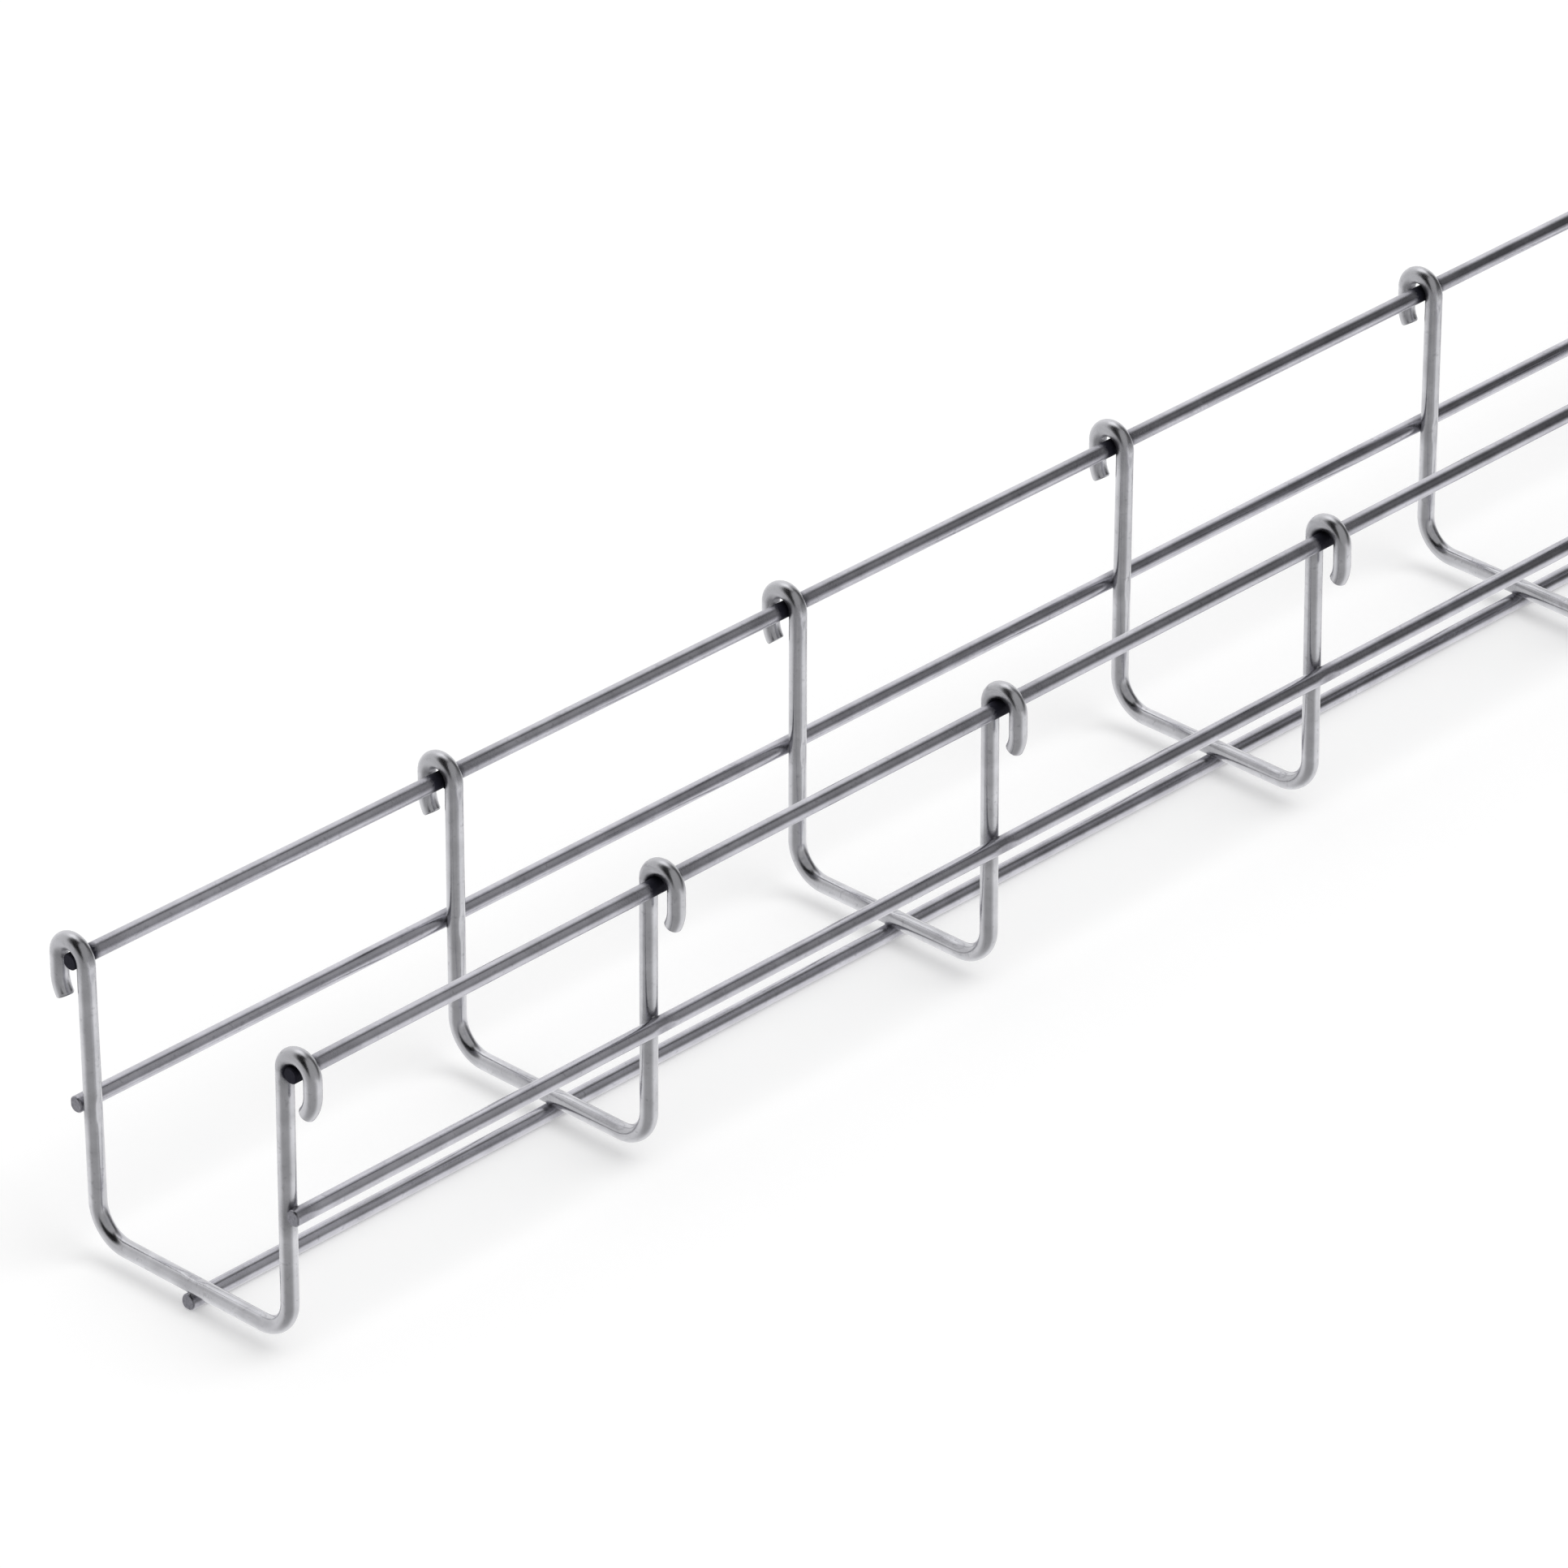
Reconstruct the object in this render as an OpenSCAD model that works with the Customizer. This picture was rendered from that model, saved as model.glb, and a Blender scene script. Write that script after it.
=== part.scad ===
// Wire mesh cable basket: a straight length of U-shaped tray made of welded round wire.
// Bent ribs cross five long wires, and each rib end hooks outward over its rim wire.
// The origin is under the middle of the tray's length, at the underside of the bottom wire.
// +X runs along the tray and +Z up, away from the floor of the tray.

/* [Tray] */
// Length of the long wires
tray_length = 3000; // [400:100:3000]
// Distance from one rib to the next
rib_pitch = 100; // [80:5:150]
// Length of wire left before the first rib's middle
lead_in = 2; // [1:0.5:20]
// Clear width between the arms of a rib
inner_width = 51; // [40:1:120]
// Height of the rim wires' middle above the inside of the floor
inner_height = 60; // [40:1:110]
// Height of the side wires' middle above the inside of the floor
side_height = 27.5; // [15:0.5:35]

/* [Wire] */
// Diameter of the rib wire
rib_d = 3.8; // [3:0.1:5]
// Diameter of the long wires
line_d = 3.6; // [3:0.1:5]
// How far each weld sinks a long wire into a rib
weld_depth = 0.5; // [0.2:0.1:0.8]
// Bevel round the cut ends of the long wires
end_bevel = 0.3; // [0.1:0.1:0.6]

/* [Bends] */
// Inside radius of the bends between floor and arms
floor_bend = 6; // [4:0.5:12]
// Room between the hook and the rim wire it wraps
hook_room = 0.9; // [0.3:0.1:2]
// Straight run of the hook on the outside
hook_tail = 4.5; // [1:0.5:10]
// Inside radius of the curl at the hook's tip
tip_bend = 6; // [3:0.5:10]
// Angle through which the tip curls back in
tip_angle = 35; // [10:5:50]

/* [Hidden] */
$fn = 32;
rib_count = floor((tray_length - 2 * lead_in) / rib_pitch) + 1;
rib_names = [for (i = [1:rib_count]) str("rib_", i)];

// Middle-to-middle distance of two wires welded across each other
weld_offset = (rib_d + line_d) / 2 - weld_depth;
floor_z = line_d / 2 + weld_offset;
inside_z = floor_z + rib_d / 2;
rim_z = inside_z + inner_height;
side_z = inside_z + side_height;
arm_y = (inner_width + rib_d) / 2;
line_y = arm_y + weld_offset;

floor_r = floor_bend + rib_d / 2;
tip_r = tip_bend + rib_d / 2;
// The hook spans the rim wire as it is sunk in the arm, plus the room beside it
hook_r = (rib_d + line_d - weld_depth + hook_room) / 2;
first_rib_x = lead_in - tray_length / 2;

// A run of rib wire along +X; what follows it starts at its end
module straight(run) {
    rotate([0, 90, 0]) cylinder(h = run, d = rib_d);
    translate([run, 0, 0]) children();
}

// A left-hand bend in the XY plane that starts along +X; what follows it starts at its end
module bend(radius, angle) {
    translate([0, radius, 0]) {
        rotate([0, 0, -90]) rotate_extrude(angle = angle) translate([radius, 0]) circle(d = rib_d);
        rotate([0, 0, angle]) translate([0, -radius, 0]) children();
    }
}

// The bevelled end of a long wire, along +X
module cut_end() {
    rotate([0, 90, 0]) cylinder(h = end_bevel, d1 = line_d, d2 = line_d - 2 * end_bevel);
}

// Half a rib, from the middle of the floor out to the tip of the hook, drawn flat
module half_rib() {
    straight(arm_y - floor_r)
    bend(floor_r, 90)
    straight(rim_z - floor_z - floor_r)
    mirror([0, 1, 0]) bend(hook_r, 180)
    straight(hook_tail)
    bend(tip_r, tip_angle);
}

// The five long wires' places in the tray's cross-section, as [y, z]
rim_at = [line_y, rim_z];
side_at = [line_y, side_z];
bottom_at = [0, line_d / 2];
function other_side(at) = [-at.x, at.y];
line_places = [rim_at, other_side(rim_at), side_at, other_side(side_at), bottom_at];

// A rib stands across the tray, with a saddle in it where each long wire is welded on
module rib(number) {
    color("gainsboro")
    translate([first_rib_x + (number - 1) * rib_pitch, 0, 0])
    difference() {
        for (side = [0, 1]) mirror([0, side, 0])
            translate([0, 0, floor_z]) rotate([90, 0, 90]) half_rib();
        for (at = line_places)
            translate([-rib_d, at.x, at.y]) rotate([0, 90, 0]) cylinder(h = 2 * rib_d, d = line_d);
    }
}

// A long wire over the whole tray, cut off square at both ends
module line_wire(at) {
    body = tray_length - 2 * end_bevel;
    color("silver")
    translate([0, at.x, at.y]) {
        translate([-body / 2, 0, 0]) rotate([0, 90, 0]) cylinder(h = body, d = line_d);
        for (end = [0, 1]) mirror([end, 0, 0]) translate([body / 2, 0, 0]) cut_end();
    }
}

for (number = [1:rib_count])
    rib(number);
line_wire(rim_at);  // rim_wire_left
line_wire(other_side(rim_at));  // rim_wire_right
line_wire(side_at);  // side_wire_left
line_wire(other_side(side_at));  // side_wire_right
line_wire(bottom_at);  // bottom_wire
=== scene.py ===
"""A length of wire mesh cable basket: bent ribs welded across five long wires, zinc plated all over."""
import math

import bpy
import numpy as np
from mathutils import Matrix, Vector


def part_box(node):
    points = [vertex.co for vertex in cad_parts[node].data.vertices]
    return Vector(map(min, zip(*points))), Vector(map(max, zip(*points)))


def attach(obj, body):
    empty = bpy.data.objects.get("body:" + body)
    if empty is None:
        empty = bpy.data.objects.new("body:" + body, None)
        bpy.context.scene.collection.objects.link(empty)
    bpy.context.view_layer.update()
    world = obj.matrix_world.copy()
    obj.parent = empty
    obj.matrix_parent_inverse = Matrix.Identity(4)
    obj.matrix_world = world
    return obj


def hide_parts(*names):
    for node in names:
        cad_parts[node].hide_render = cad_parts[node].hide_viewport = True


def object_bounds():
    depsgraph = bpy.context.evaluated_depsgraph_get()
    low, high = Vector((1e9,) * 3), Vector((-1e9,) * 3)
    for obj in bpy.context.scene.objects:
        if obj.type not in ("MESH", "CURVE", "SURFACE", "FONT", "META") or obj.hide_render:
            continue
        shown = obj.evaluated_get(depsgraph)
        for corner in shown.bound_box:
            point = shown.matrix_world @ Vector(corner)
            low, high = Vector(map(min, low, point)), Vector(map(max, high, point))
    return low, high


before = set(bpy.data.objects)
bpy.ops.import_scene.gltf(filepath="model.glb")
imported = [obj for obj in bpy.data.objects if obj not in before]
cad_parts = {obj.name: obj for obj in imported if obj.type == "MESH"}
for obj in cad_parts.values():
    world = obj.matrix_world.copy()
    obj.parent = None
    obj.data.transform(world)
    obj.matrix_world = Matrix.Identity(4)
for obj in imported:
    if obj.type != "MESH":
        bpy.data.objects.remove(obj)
cad_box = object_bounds()
scene = bpy.context.scene
scene.view_settings.view_transform = "Standard"


# ---------------------------------------------------------------------------
# The camera stands well off the end where a rib sits close to the wires' cut ends, beside the tray and
# above it, and looks along the tray through a long lens. Its aim is on the tray's middle plane.
AIM_PAST_FIRST_RIB = 0.1676
AIM_HEIGHT = 0.0501
CAMERA_DISTANCE = 2.2906
CAMERA_TURN = math.radians(44.02)
CAMERA_LIFT = math.radians(29.54)
CAMERA_ROLL = math.radians(-0.09)
LENS_MM = 256.9
SENSOR_MM = 36.0
NEAREST_SEEN, FURTHEST_SEEN = 0.05, 200

first_rib_low, first_rib_high = (np.array(corner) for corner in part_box("rib_1"))
first_rib_x = (first_rib_low[0] + first_rib_high[0]) / 2
aim = Vector((first_rib_x + AIM_PAST_FIRST_RIB, 0, AIM_HEIGHT))
backward = Vector((-math.cos(CAMERA_TURN) * math.cos(CAMERA_LIFT),
                   -math.sin(CAMERA_TURN) * math.cos(CAMERA_LIFT),
                   math.sin(CAMERA_LIFT)))
level_right = Vector((0, 0, 1)).cross(backward).normalized()
level_up = backward.cross(level_right)
right = level_right * math.cos(CAMERA_ROLL) + level_up * math.sin(CAMERA_ROLL)
up = level_up * math.cos(CAMERA_ROLL) - level_right * math.sin(CAMERA_ROLL)

camera = bpy.data.objects.new("camera", bpy.data.cameras.new("camera"))
camera.data.lens, camera.data.sensor_width = LENS_MM, SENSOR_MM
camera.data.clip_start, camera.data.clip_end = NEAREST_SEEN, FURTHEST_SEEN
camera.matrix_world = (Matrix.Translation(aim + backward * CAMERA_DISTANCE)
                       @ Matrix((right, up, backward)).transposed().to_4x4())
scene.collection.objects.link(camera)
scene.camera = camera


# ---------------------------------------------------------------------------
# The long wires: five straight lengths of drawn steel wire, two along the rim, two along the sides and one
# under the floor, all sheared off at both ends. At each weld the electrode leaves a flat and the heat dulls
# the zinc, and in the crooks of the ribs' hooks the zinc is painted near black as shade.

# Points round a wire's girth, and the angle at which two of its faces meet in a sharp edge
ROUND = 28
GIRTH = np.linspace(0, 2 * np.pi, ROUND, endpoint=False)
SHARP = math.radians(38)
# A sheared end: the bevel's length, how near the cut the next ring may stand, the shares of the wire's
# radius at the cut's edge and at the ring inside it, and the slope by which the cut may lean
BEVEL = 0.0003
CLEAR_OF_CUT = 1.6 * BEVEL
EDGE_SHARE, INNER_SHARE = 0.86, 0.5
CUT_SLOPE = 0.12
# How far a weld sinks the two wires into each other, and the electrode's flat: its depth and its reach
WELD_SINK = 0.0005
LINE_FLAT = 0.00022
FLAT_REACH = 0.0023
# How strongly heat dulls the zinc at a weld and how far along, and the same for the painted shade in the
# crook under a hook, where the zinc is painted near black
TEMPER, TEMPER_REACH = 0.6, 0.003
PAINTED_CROOK_SHADE, RIM_PAINTED_SHADE_REACH = 2.4, 0.0044
# Rings along a long wire, and those that crowd round each weld
LINE_RINGS = 151
LINE_CROWD = np.linspace(-0.005, 0.005, 15)
# The tray's sides lean in by SLUMP. Near the cut ends they spring outward by SPRING, which dies away with
# the distance EASE. Nothing under the height LEAN_FROM moves.
SPRING, EASE, SLUMP = 0.0018, 0.264, 0.00107
LEAN_FROM = 0.009
# How far along its pattern of clouds and die lines each wire may start
PATTERN_SHIFT = 9

tray_low, tray_high = (np.array(corner) for corner in cad_box)
RIB_COUNT = sum(1 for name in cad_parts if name.startswith("rib_"))
rib_x = np.array([sum(corner[0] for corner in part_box(f"rib_{i + 1}")) / 2 for i in range(RIB_COUNT)])
luck = np.random.default_rng(60)


def cut_ends(run):
    """Adds a sheared end at each end of the distances run: a ring inside the cut, the cut's edge and a bevel.
    Returns the distances, each ring's share of the wire's radius, and how far the cut leans over there."""
    first, last = run[0], run[-1]
    inner = run[(run > first + CLEAR_OF_CUT) & (run < last - CLEAR_OF_CUT)]
    run = np.concatenate([[first, first, first + BEVEL], inner, [last - BEVEL, last, last]])
    share, lean = np.ones(len(run)), np.zeros(len(run))
    share[[0, 1, -2, -1]] = INNER_SHARE, EDGE_SHARE, EDGE_SHARE, INNER_SHARE
    lean[[0, 1, -2, -1]] = luck.uniform(-CUT_SLOPE, CUT_SLOPE, 2).repeat(2)
    return run, share, lean


def skin_radii(radius, share, nearest, flat):
    """How far a wire's skin stands from its middle line: radius * share in each ring, but towards angle 0 it
    is cut off at a chord, flat * (1.5 - nearest / FLAT_REACH) further in. That depth is kept between 0 and
    flat. nearest is each ring's distance from a weld."""
    radii = np.repeat(radius * share[:, None], ROUND, 1)
    depth = flat * np.clip(1.5 - nearest / FLAT_REACH, 0, 1)
    facing = np.cos(GIRTH)
    chord = (radii.max(1) - depth)[:, None] / np.maximum(facing, 1e-6)
    return np.where(facing > 0, np.minimum(radii, chord), radii)


def sweep(centres, headings, outward, radii, lean):
    """A closed wire skin. Ring i is centre[i] + radius[i, j] * (cos a * outward + sin a * heading x outward),
    with a going once round as j does. lean slides a ring's points along by lean * radius * cos a."""
    across = np.cross(headings, outward)
    spokes = (np.cos(GIRTH)[None, :, None] * (outward + lean[:, None] * headings)[:, None]
              + np.sin(GIRTH)[None, :, None] * across[:, None])
    points = (centres[:, None] + radii[..., None] * spokes).reshape(-1, 3)
    i, j = np.meshgrid(np.arange(len(radii) - 1), np.arange(ROUND), indexing="ij")
    after = (j + 1) % ROUND
    quads = np.stack([i * ROUND + j, i * ROUND + after, (i + 1) * ROUND + after, (i + 1) * ROUND + j], -1)
    last = (len(radii) - 1) * ROUND
    faces = quads.reshape(-1, 4).tolist()
    faces += [list(range(ROUND - 1, -1, -1)), list(range(last, last + ROUND))]
    return points, faces


def straightened(run, radii):
    """Where each point of a swept wire would be if the wire were pulled straight along X from its first end:
    at [run, radius * cos a, radius * sin a]."""
    return np.stack([np.repeat(run[:, None], ROUND, 1),
                     radii * np.cos(GIRTH), radii * np.sin(GIRTH)], -1).reshape(-1, 3)


def sprung(points):
    """Moves the tray's sides outward by lean * (z - LEAN_FROM) / (the tray's height - LEAN_FROM). lean is
    SPRING * exp(-d / EASE) - SLUMP at distance d from the nearer cut end."""
    x, y, z = points.T
    from_end = np.minimum(np.abs(x - tray_low[0]), np.abs(tray_high[0] - x))
    lean = SPRING * np.exp(-from_end / EASE) - SLUMP
    share = np.clip((z - LEAN_FROM) / (tray_high[2] - LEAN_FROM), 0, 1)
    return np.stack([x, y + np.sign(y) * lean * share, z], 1)


def wire_piece(name, points, faces, place, heat_and_shade, strain):
    """Makes a mesh object with smooth faces, and stores its straightened place, its weld heat with the
    painted crook shade, and its bending strain.
    The place is shifted by chance, so that no two pieces show the same part of the zinc's pattern."""
    mesh = bpy.data.meshes.new(name)
    mesh.from_pydata(sprung(points).tolist(), [], faces)
    mesh.polygons.foreach_set("use_smooth", np.ones(len(mesh.polygons), bool))
    mesh.set_sharp_from_angle(angle=SHARP)
    shifted = place + luck.uniform(0, PATTERN_SHIFT, 3)
    mesh.attributes.new("wire_place", "FLOAT_VECTOR", "POINT").data.foreach_set("vector", shifted.ravel())
    mesh.attributes.new("weld_heat_and_painted_shade", "FLOAT", "POINT").data.foreach_set("value", heat_and_shade)
    mesh.attributes.new("strain", "FLOAT", "POINT").data.foreach_set("value", strain)
    piece = bpy.data.objects.new(name, mesh)
    scene.collection.objects.link(piece)
    return piece


class Flow:
    """A socket of a material's nodes. Arithmetic on it adds the Math node that does the same."""

    def __init__(self, tree, socket=None):
        self.tree, self.socket = tree, socket

    def node(self, kind, settings, inputs, output=0):
        """Adds a node, makes its settings, then gives each input named a value or a link."""
        made = self.tree.nodes.new(kind)
        for name, value in settings.items():
            setattr(made, name, value)
        for name, value in inputs.items():
            if isinstance(value, Flow):
                self.tree.links.new(value.socket, made.inputs[name])
            else:
                made.inputs[name].default_value = value
        return Flow(self.tree, made.outputs[output] if made.outputs else None)

    def beside(self, output):
        """Another output of the node that this socket is on."""
        return Flow(self.tree, self.socket.node.outputs[output])

    def maths(self, operation, first, second):
        """Adds the Math node of one operation."""
        return self.node("ShaderNodeMath", {"operation": operation}, {0: first, 1: second})

    def __add__(self, other):
        return self.maths("ADD", self, other)

    def __sub__(self, other):
        return self.maths("SUBTRACT", self, other)

    def __rsub__(self, other):
        return self.maths("SUBTRACT", other, self)

    def __mul__(self, other):
        return self.maths("MULTIPLY", self, other)

    __radd__, __rmul__ = __add__, __mul__

    def spread(self, low, high):
        """A number that goes from 0 to 1 as this one goes from low to high, and no further."""
        return self.node("ShaderNodeMapRange", {}, {"Value": self, "From Min": low, "From Max": high})

    def blend(self, start, end):
        """A colour that goes from start to end as this number goes from 0 to 1."""
        return self.node("ShaderNodeMix", {"data_type": "RGBA"}, {0: self, 6: start, 7: end}, output=2)


def bare_nodes(owner):
    """Clears the nodes of a material or of the world, and gives a Flow that adds new ones."""
    owner.use_nodes = True
    owner.node_tree.nodes.clear()
    return Flow(owner.node_tree)


def shaded(colour, share):
    """A colour times a share, or times one share for each of red, green and blue, with an alpha of 1."""
    return (*np.multiply(colour, share).tolist(), 1)


def zinc_wire(name, colour):
    """Bright zinc on drawn wire: faint clouds, spots and die lines, dulled by weld heat and hard bending.
    Where the weld heat value runs high, in the crooks of the hooks, the colour is painted near black as
    shade.
    """
    material = bpy.data.materials.new(name)
    start = bare_nodes(material)
    place = start.node("ShaderNodeAttribute", {"attribute_name": "wire_place"}, {}, output="Vector")
    heat_and_shade = start.node("ShaderNodeAttribute", {"attribute_name": "weld_heat_and_painted_shade"}, {}, output="Fac")
    strain = start.node("ShaderNodeAttribute", {"attribute_name": "strain"}, {}, output="Fac")
    drawn = start.node("ShaderNodeMapping", {}, {"Vector": place, "Scale": (40, 2600, 2600)})
    die_lines = start.node("ShaderNodeTexNoise", {}, {"Vector": drawn, "Scale": 1.0, "Detail": 3.0})
    clouds = start.node("ShaderNodeTexNoise", {}, {"Vector": place, "Scale": 160.0, "Detail": 4.0})
    grain = start.node("ShaderNodeTexNoise", {}, {"Vector": place, "Scale": 2400.0, "Detail": 2.0})
    spots = start.node("ShaderNodeTexNoise", {}, {"Vector": place, "Scale": 900.0, "Detail": 2.0})

    pale, dark = shaded(colour, 1.1), shaded(colour, 0.84)
    spot, worked = shaded(colour, 0.5), shaded(colour, 0.8)
    # Near black: where weld heat burns the zinc, and painted shade in the hooks' crooks
    burn_and_painted_shade = shaded(colour, (0.07, 0.07, 0.09))
    lines = die_lines.spread(0.35, 0.75)
    clouded = clouds.spread(0.3, 0.7).blend(dark, pale)
    spotted = (spots.spread(0.6, 0.75) * 0.35).blend(clouded, spot)
    lined = (lines * 0.12).blend(spotted, dark)
    dulled = (strain * 0.35).blend(lined, worked)
    # Toward near black with the weld heat value; by the rim wires that value is painted shade, not heat
    burned_and_shaded = (heat_and_shade * (0.35 + grain * 0.5)).blend(dulled, burn_and_painted_shade)

    roughness = 0.13 + clouds * 0.08 + lines * 0.06 + heat_and_shade * 0.22 + strain * 0.06
    height = die_lines * 0.3 + grain * 0.35 + clouds * 0.5 + heat_and_shade * grain * 1.6
    bump = start.node("ShaderNodeBump", {}, {"Strength": 0.35, "Distance": 0.00006, "Height": height})
    surface = start.node("ShaderNodeBsdfPrincipled", {}, {
        "Base Color": burned_and_shaded, "Metallic": 1.0, "Roughness": roughness, "Normal": bump})
    start.node("ShaderNodeOutputMaterial", {}, {"Surface": surface})
    return material


line_zinc = zinc_wire("line_zinc", (0.58, 0.575, 0.625))


def line_wire(node, outward):
    """A straight wire in its solid's place, with its rings crowded round each rib and its flats on the side
    outward. At distance d from a rib its weld heat is TEMPER * exp(-(d / TEMPER_REACH)^2), and on a rim wire
    it is instead painted shade for the crooks of the hooks, with a fourth power for a sharper edge. A cut
    face has at least 1."""
    low, high = (np.array(corner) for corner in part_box(node))
    middle, radius = (low + high) / 2, (high[2] - low[2]) / 2
    run = np.union1d(np.linspace(low[0], high[0], LINE_RINGS), (rib_x[:, None] + LINE_CROWD).ravel())
    x, share, lean = cut_ends(run[(run >= low[0]) & (run <= high[0])])
    nearest = np.abs(x[:, None] - rib_x).min(1)
    radii = skin_radii(radius, share, nearest, LINE_FLAT)
    centres = np.stack([x, np.full(len(x), middle[1]), np.full(len(x), middle[2])], 1)
    headings = np.tile([1.0, 0.0, 0.0], (len(x), 1))
    points, faces = sweep(centres, headings, np.tile(outward, (len(x), 1)), radii, lean)
    heat_and_shade = TEMPER * np.exp(-(nearest / TEMPER_REACH) ** 2)
    # On a rim wire the welds lie in the hooks' crooks: the zinc there is painted near black as shade
    if node.startswith("rim"):
        heat_and_shade = PAINTED_CROOK_SHADE * np.exp(-(nearest / RIM_PAINTED_SHADE_REACH) ** 4)
    heat_and_shade = np.repeat(np.maximum(heat_and_shade, share < 1), ROUND)
    place = straightened(x - low[0], radii)
    piece = wire_piece(node + "_drawn", points, faces, place, heat_and_shade, np.zeros(len(points)))
    piece.data.materials.append(line_zinc)
    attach(piece, "root")
    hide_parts(node)


LEFT, RIGHT, DOWN = np.array([0.0, 1, 0]), np.array([0.0, -1, 0]), np.array([0.0, 0, -1])
line_sides = {"rim_wire_left": LEFT, "rim_wire_right": RIGHT, "side_wire_left": LEFT,
              "side_wire_right": RIGHT, "bottom_wire": DOWN}
for line_node, line_side in line_sides.items():
    line_wire(line_node, line_side)


# ---------------------------------------------------------------------------
# The ribs: one steel wire each, bent to a U across the tray. Each end is folded outward over the rim wire
# and runs down outside it, and its tip curls back in. The press leaves every hook a little different.

# Radii of the bends' middle lines, the straight tail of a hook, and the angle that its tip curls through
FLOOR_BEND, TIP_BEND = 0.0079, 0.0079
TAIL = 0.0045
TIP_TURN = math.radians(35)
# A hook's tail may be this much shorter or longer, and its tip may turn this much less or more. A rib may
# lean along the tray by this slope, and stand askew by half of it. The first right-hand tail is cropped.
TAIL_LUCK = -0.0003, 0.0004
TIP_LUCK = -0.09, 0.09
LEAN_LUCK = -0.006, 0.006
SHORT_HOOK = 0.0014
# Depth of the electrode's flat, and how far from a long wire's skin the heat and the painted crook shade
# reach
RIB_FLAT = 0.0002
HEAT_REACH = 0.0022
PAINTED_SHADE_REACH = 0.0008
# Rings along a rib, in each bend and round each weld, the step that their places are rounded to, and the
# nearest that the last of them may come to the cut
RIB_RINGS = 120
BEND_RINGS = 22
RIB_CROWD = np.linspace(-0.004, 0.004, 17)
RING_STEP = 0.0003
LAST_GAP = 0.0002
# A rib's stretches are tip, tail, hook, arm, bend, floor, and then the first five the other way round. These
# are the ones that start at the top of an arm, and the floor.
ARM_TOPS = [3, 8]
FLOOR_STRETCH = 5

rib_zinc = zinc_wire("rib_zinc", (0.62, 0.62, 0.65))
rim_y = sum(corner[1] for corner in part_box("rim_wire_left")) / 2
rim_z = sum(corner[2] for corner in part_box("rim_wire_left")) / 2
side_z = sum(corner[2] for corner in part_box("side_wire_left")) / 2
rib_radius = (first_rib_high[0] - first_rib_low[0]) / 2
line_radius = (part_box("bottom_wire")[1][2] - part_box("bottom_wire")[0][2]) / 2
floor_z = first_rib_low[2] + rib_radius
arm_y = rim_y - rib_radius - line_radius + WELD_SINK
# The hook turns half round, from the arm to the run that is the rib's outermost
hook_radius = (first_rib_high[1] - rib_radius - arm_y) / 2


def rib_course(hooks):
    """The rib's middle line from tip to tip, as a row of [length, turn] for each stretch. hooks holds, for
    each end, how much longer its tail is and how much further its tip turns."""
    arm = rim_z - floor_z - FLOOR_BEND
    quarter, half = math.pi / 2, math.pi
    ends = []
    for longer, further in hooks:
        turn = TIP_TURN + further
        ends.append([[TIP_BEND * turn, -turn], [TAIL + longer, 0], [hook_radius * half, -half],
                     [arm, 0], [FLOOR_BEND * quarter, quarter]])
    first, last = ends
    return np.array(first + [[2 * (arm_y - FLOOR_BEND), 0]] + last[::-1])


def trace(course, run):
    """The y and z, the heading and the curvature at distances run along the course. A stretch that turns is
    an arc, on which the heading grows evenly, and the whole is set so that the floor lies level in place."""
    length, turn = course.T
    starts = np.concatenate([[0], np.cumsum(length)])
    heading = np.concatenate([[0], np.cumsum(turn)])
    curve = turn / length

    def arc(k, u):
        """Where distance u along stretch k leads to: the integral of the heading's cos and sin."""
        a, c = heading[k], curve[k]
        bent = np.abs(c) > 1e-9
        safe = np.where(bent, c, 1)
        y = np.where(bent, (np.sin(a + c * u) - np.sin(a)) / safe, u * np.cos(a))
        z = np.where(bent, (np.cos(a) - np.cos(a + c * u)) / safe, u * np.sin(a))
        return np.stack([y, z], 1)

    joins = np.concatenate([[[0, 0]], np.cumsum(arc(np.arange(len(length)), length), 0)])
    k = np.clip(np.searchsorted(starts, run, side="right") - 1, 0, len(length) - 1)
    points = joins[k] + arc(k, run - starts[k])
    angles = heading[k] + curve[k] * (run - starts[k])
    spin = -heading[FLOOR_STRETCH]
    turned = np.array([[math.cos(spin), -math.sin(spin)], [math.sin(spin), math.cos(spin)]])
    y, z = ((points - joins[FLOOR_STRETCH]) @ turned.T + [-(arm_y - FLOOR_BEND), floor_z]).T
    return y, z, angles + spin, np.abs(curve[k])


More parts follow.
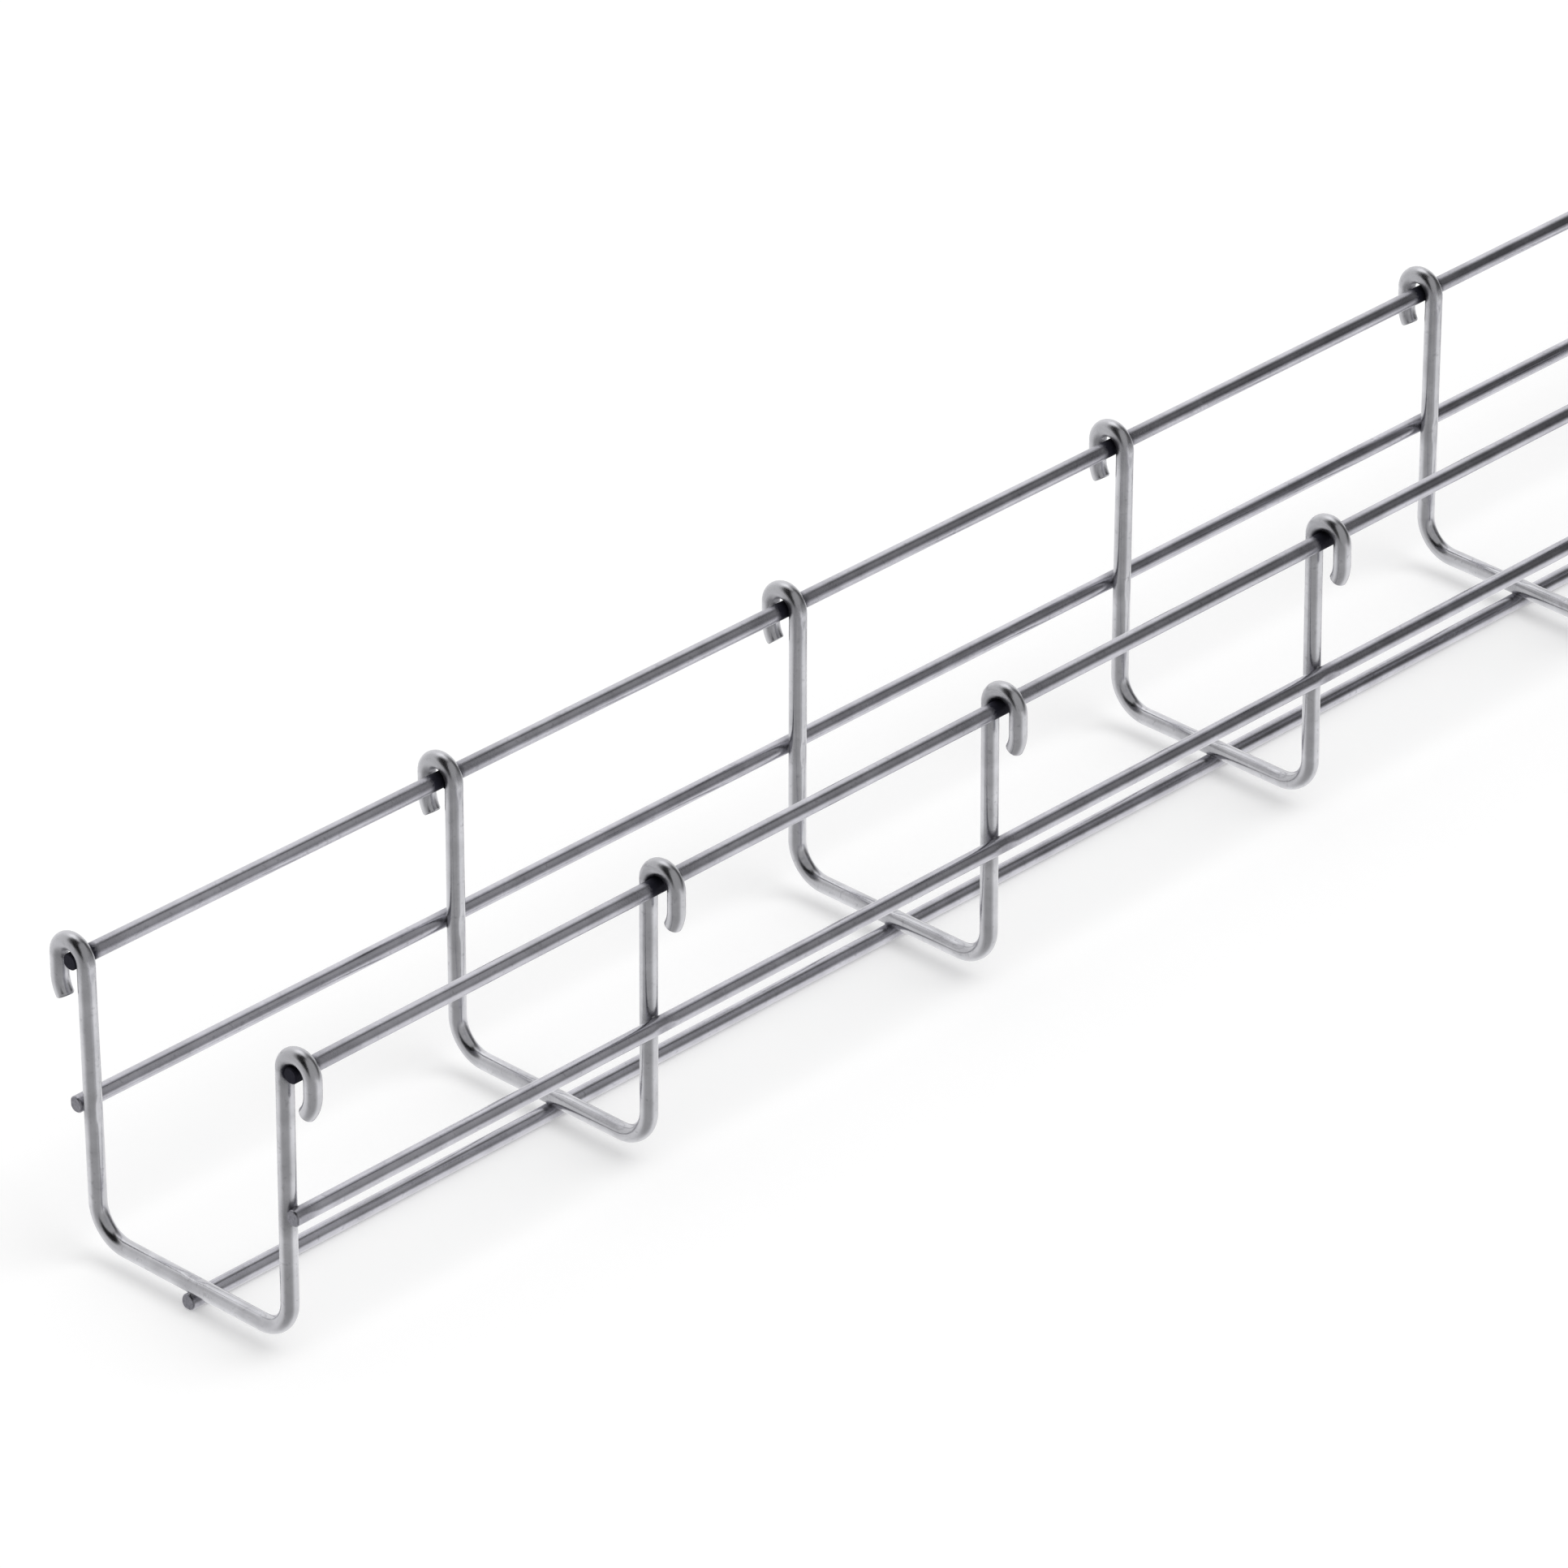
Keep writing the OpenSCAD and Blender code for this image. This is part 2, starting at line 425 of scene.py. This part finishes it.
def rib_wire(number):
    """One rib: its course swept with round wire, with a flat inside it at each weld, leaning a little. At
    distance d from a long wire's skin its weld heat is TEMPER * exp(-(d / HEAT_REACH)^2), by the rim wires
    at least a painted shade for the hook's crook, its strength times exp(-(d / its reach)^2), and on a cut
    face at least 1. Its bending strain is the wire's thickness over the bend's radius, and at most 1."""
    hooks = np.stack([luck.uniform(*TAIL_LUCK, 2), luck.uniform(*TIP_LUCK, 2)], 1)
    if number == 1:
        hooks[0, 0] = -SHORT_HOOK
    course = rib_course(hooks)
    starts = np.concatenate([[0], np.cumsum(course[:, 0])])
    end, (first_top, last_top) = starts[-1], starts[ARM_TOPS]
    welds = np.array([first_top, last_top, first_top + rim_z - side_z, last_top - rim_z + side_z,
                      starts[FLOOR_STRETCH] + course[FLOOR_STRETCH, 0] / 2])
    turning = np.flatnonzero(course[:, 1])
    bends = np.linspace(starts[turning], starts[turning + 1], BEND_RINGS)
    crowded = (welds[:, None] + RIB_CROWD).ravel()
    run = np.concatenate([np.linspace(0, end, RIB_RINGS), crowded, bends.ravel()])
    run = np.unique(np.round(run / RING_STEP)) * RING_STEP
    run, share, lean = cut_ends(np.append(run[run < end - LAST_GAP], end))
    y, z, angles, curve = trace(course, run)
    tip_over, skew = luck.uniform(*LEAN_LUCK, 2)
    x = rib_x[number - 1] + tip_over * (z - floor_z) + skew * y / 2
    no_x = np.zeros(len(run))
    headings = np.stack([no_x, np.cos(angles), np.sin(angles)], 1)
    inward = np.stack([no_x, -np.sin(angles), np.cos(angles)], 1)
    radii = skin_radii(rib_radius, share, np.abs(run[:, None] - welds).min(1), RIB_FLAT)
    points, faces = sweep(np.stack([x, y, z], 1), headings, inward, radii, lean)
    to_wires = np.hypot(np.abs(points[:, 1])[:, None] - [rim_y, rim_y, 0],
                        points[:, 2][:, None] - [rim_z, side_z, line_radius]) - line_radius
    heat_and_shade = np.maximum(TEMPER * np.exp(-(to_wires.min(1) / HEAT_REACH) ** 2), np.repeat(share < 1, ROUND))
    # By the rim wires the rib is painted near black, as shade in the hook's crook
    heat_and_shade = np.maximum(heat_and_shade, PAINTED_CROOK_SHADE * np.exp(-(to_wires[:, 0] / PAINTED_SHADE_REACH) ** 2))
    strain = np.repeat(np.clip(curve * rib_radius * 2, 0, 1), ROUND)
    piece = wire_piece(f"rib_{number}_bent", points, faces, straightened(run, radii), heat_and_shade, strain)
    piece.data.materials.append(rib_zinc)
    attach(piece, "root")
    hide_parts(f"rib_{number}")


for rib_number in range(1, RIB_COUNT + 1):
    rib_wire(rib_number)


# ---------------------------------------------------------------------------
# The welds: where each rib lies on a long wire the two were pressed together hot, and a thin bead of steel
# squeezed out all round. Every bead is its own shape.

# Distances from the weld's middle to the bead's toes on the wires, to its neck and to the core that closes
# it, and how far its toes are buried in the wires
BEAD_TOE = 0.00166
BEAD_NECK = 0.0014
BEAD_CORE = BEAD_NECK * 0.6
BEAD_BURY = 0.00006
# How far a bead swells in and out round the weld, as two, three and five waves, and the toes' share of that
SWELLS = {2: 0.05, 3: 0.04, 5: 0.03}
TOE_SWELL = 0.4
# Points round a bead and from toe to toe
BEAD_ROUND = 32
BEAD_STEPS = 7


def weld_beads(name, line_node, towards_rib, along_rib):
    """A ring of squeezed-out metal round each of a long wire's welds. At angle q and distance d from the
    weld's middle the long wire's skin is sqrt(r^2 - (d sin q)^2) up and the rib's is as far down from the
    rib's middle with cos q. The bead goes from one to the other as t goes from 0 to 1, and 4 t (1 - t) of
    the way between its toes it is drawn in to the neck."""
    low, high = (np.array(corner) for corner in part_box(line_node))
    middle, r_line = (low + high) / 2, (high[2] - low[2]) / 2
    apart = r_line + rib_radius - WELD_SINK
    q = np.linspace(0, 2 * np.pi, BEAD_ROUND, endpoint=False)[None, :, None]
    t = np.linspace(0, 1, BEAD_STEPS)[None, None]
    phases = luck.uniform(0, 2 * np.pi, (len(SWELLS), RIB_COUNT, 1, 1))
    swell = 1 + sum(size * np.sin(waves * q + phase) for (waves, size), phase in zip(SWELLS.items(), phases))
    toe = BEAD_TOE * (1 + TOE_SWELL * (swell - 1))
    bulge = 4 * t * (1 - t)
    d = toe * (1 - bulge) + BEAD_NECK * swell * bulge
    up_line = np.sqrt(r_line ** 2 - (d * np.sin(q)) ** 2) - BEAD_BURY
    up_rib = apart - np.sqrt(rib_radius ** 2 - (d * np.cos(q)) ** 2) + BEAD_BURY
    up = up_line * (1 - t) + up_rib * t
    core_d = np.full(d.shape[:2] + (1,), BEAD_CORE)
    core_up = np.full(core_d.shape, apart / 2)
    d, up = np.concatenate([d, core_d], 2), np.concatenate([up, core_up], 2)
    along_line = np.array([1.0, 0, 0])
    centres = np.stack([rib_x, np.full(RIB_COUNT, middle[1]), np.full(RIB_COUNT, middle[2])], 1)
    local = ((d * np.cos(q))[..., None] * along_line + (d * np.sin(q))[..., None] * along_rib
             + up[..., None] * towards_rib)
    points = (centres[:, None, None] + local).reshape(-1, 3)
    k, i, j = np.meshgrid(np.arange(RIB_COUNT), np.arange(BEAD_ROUND), np.arange(BEAD_STEPS + 1),
                          indexing="ij")

    def index(i, j):
        """The point i steps round bead k and j steps up from its toe. The core comes last."""
        return (k * BEAD_ROUND + i % BEAD_ROUND) * (BEAD_STEPS + 1) + j % (BEAD_STEPS + 1)

    quads = np.stack([index(i, j), index(i + 1, j), index(i + 1, j + 1), index(i, j + 1)], -1)
    if np.dot(np.cross(along_line, along_rib), towards_rib) < 0:
        quads = quads[..., ::-1]
    # Beads on a rim wire lie in the hooks' crooks and are painted near black as shade; the others are
    # heat-dulled
    heat_and_shade = np.full(len(points), PAINTED_CROOK_SHADE if line_node.startswith("rim") else TEMPER)
    piece = wire_piece(name, points, quads.reshape(-1, 4).tolist(), points, heat_and_shade, np.zeros(len(points)))
    piece.data.materials.append(rib_zinc)
    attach(piece, "root")


UP = np.array([0.0, 0, 1])
weld_beads("rim_welds_left", "rim_wire_left", RIGHT, UP)
weld_beads("rim_welds_right", "rim_wire_right", LEFT, UP)
weld_beads("side_welds_left", "side_wire_left", RIGHT, UP)
weld_beads("side_welds_right", "side_wire_right", LEFT, UP)
weld_beads("bottom_welds", "bottom_wire", UP, LEFT)


# ---------------------------------------------------------------------------
# The studio: a white floor that fades into a white surround. The zinc mirrors the surround with soft dark
# zones and a bright one overhead, and beside the first ribs a white board that is seen in nothing else. One
# broad soft light, which the zinc doesn't mirror, gives the floor its faint shadow.

# Half the floor's width, and how pale it is and how much it glows to the eye
FLOOR_HALF = 40.0
FLOOR_WHITE = 0.8
FLOOR_GLOW = 0.25
# The board: how far off the tray's middle it stands, its half length and height, and its strength
BOARD_AWAY = 1.0
BOARD_HALF, BOARD_HEIGHT = 3, 4
BOARD_STRENGTH = 0.46
# It fades out between these distances past the first rib, which grow by BOARD_SLANT with the height
BOARD_FADE = 0.43, 1.05
BOARD_SLANT = 0.6
# How strongly the surround lights the tray and the floor
DAYLIGHT = 0.7
# Zones of the surround as the zinc mirrors it: the way to a zone's middle, the cosines of the angles from it
# at which the zone begins and is full, and how much darker it is there than white
MIRRORED_ZONES = [
    ((0.626, -0.56, 0.54), 0.45, 0.93, 0.92),  # past the far end, on the right
    ((-0.68, -0.47, -0.56), 0.36, 0.93, 0.57),  # under the camera
    ((-0.62, -0.30, 0.72), 0.50, 0.83, 1.0),  # over the camera
    ((-0.72, 0.60, 0.33), 0.40, 0.95, 0.24),  # off the near end, on the left
    ((0.12, 0.25, 0.96), 0.82, 0.97, -0.45),  # overhead, brighter than white
]
# The soft light's strength, its width as an angle, and how far it is tipped from straight overhead
LIGHT_STRENGTH = 1.0
LIGHT_WIDTH = math.radians(42)
LIGHT_TIP = math.radians(24), math.radians(14), 0


def sheet(name, outline, paint):
    """A flat four-cornered piece of the studio in one paint."""
    mesh = bpy.data.meshes.new(name)
    mesh.from_pydata(outline, [], [(0, 1, 2, 3)])
    mesh.materials.append(paint)
    piece = bpy.data.objects.new(name, mesh)
    scene.collection.objects.link(piece)
    return piece


floor_paint = bpy.data.materials.new("floor_paint")
floor_nodes = bare_nodes(floor_paint)
seen = floor_nodes.node("ShaderNodeLightPath", {}, {}, output="Is Camera Ray")
matt = floor_nodes.node("ShaderNodeBsdfDiffuse", {}, {"Color": (FLOOR_WHITE, FLOOR_WHITE, FLOOR_WHITE, 1)})
glow = floor_nodes.node("ShaderNodeEmission", {}, {"Strength": seen * FLOOR_GLOW})
both = floor_nodes.node("ShaderNodeAddShader", {}, {0: matt, 1: glow})
floor_nodes.node("ShaderNodeOutputMaterial", {}, {"Surface": both})
floor = sheet("floor", [(-FLOOR_HALF, -FLOOR_HALF, 0), (FLOOR_HALF, -FLOOR_HALF, 0),
                        (FLOOR_HALF, FLOOR_HALF, 0), (-FLOOR_HALF, FLOOR_HALF, 0)], floor_paint)
floor.visible_glossy = False

board_paint = bpy.data.materials.new("board_paint")
board_nodes = bare_nodes(board_paint)
along = board_nodes.node("ShaderNodeSeparateXYZ", {}, {
    "Vector": board_nodes.node("ShaderNodeTexCoord", {}, {}, output="Object")}, output="X")
past_first_rib = along - along.beside("Z") * BOARD_SLANT
gone = past_first_rib.spread(first_rib_x + BOARD_FADE[0], first_rib_x + BOARD_FADE[1])
white = board_nodes.node("ShaderNodeEmission", {}, {"Strength": BOARD_STRENGTH})
clear = board_nodes.node("ShaderNodeBsdfTransparent", {}, {})
board_face = board_nodes.node("ShaderNodeMixShader", {}, {0: gone, 1: white, 2: clear})
board_nodes.node("ShaderNodeOutputMaterial", {}, {"Surface": board_face})
board = sheet("white_board", [(-BOARD_HALF, -BOARD_AWAY, 0), (BOARD_HALF, -BOARD_AWAY, 0),
                              (BOARD_HALF, -BOARD_AWAY, BOARD_HEIGHT),
                              (-BOARD_HALF, -BOARD_AWAY, BOARD_HEIGHT)], board_paint)
board.visible_camera = board.visible_diffuse = board.visible_shadow = board.visible_transmission = False

world = bpy.data.worlds.new("surround")
scene.world = world
sky = bare_nodes(world)
seen = sky.node("ShaderNodeLightPath", {}, {}, output="Is Camera Ray")
mirrored = seen.beside("Is Glossy Ray")
towards = sky.node("ShaderNodeTexCoord", {}, {}, output="Generated")
lit = 1.0
for middle, edge, core, depth in MIRRORED_ZONES:
    nearness = sky.node("ShaderNodeVectorMath", {"operation": "DOT_PRODUCT"}, {
        0: towards, 1: Vector(middle).normalized()}, output="Value")
    lit = lit * sky.node("ShaderNodeMapRange", {"interpolation_type": "SMOOTHSTEP"}, {
        "Value": nearness, "From Min": edge, "From Max": core, "To Min": 1.0, "To Max": 1 - depth})
strength = DAYLIGHT + seen * (1 - DAYLIGHT) + mirrored * (lit - DAYLIGHT)
surround = sky.node("ShaderNodeBackground", {}, {"Color": (1, 1, 1, 1), "Strength": strength})
sky.node("ShaderNodeOutputWorld", {}, {"Surface": surround})

lamp = bpy.data.lights.new("soft_light", "SUN")
lamp.energy, lamp.angle = LIGHT_STRENGTH, LIGHT_WIDTH
lamp_stand = bpy.data.objects.new("soft_light", lamp)
lamp_stand.rotation_euler = LIGHT_TIP
lamp_stand.visible_glossy = False
scene.collection.objects.link(lamp_stand)


bpy.context.view_layer.update()
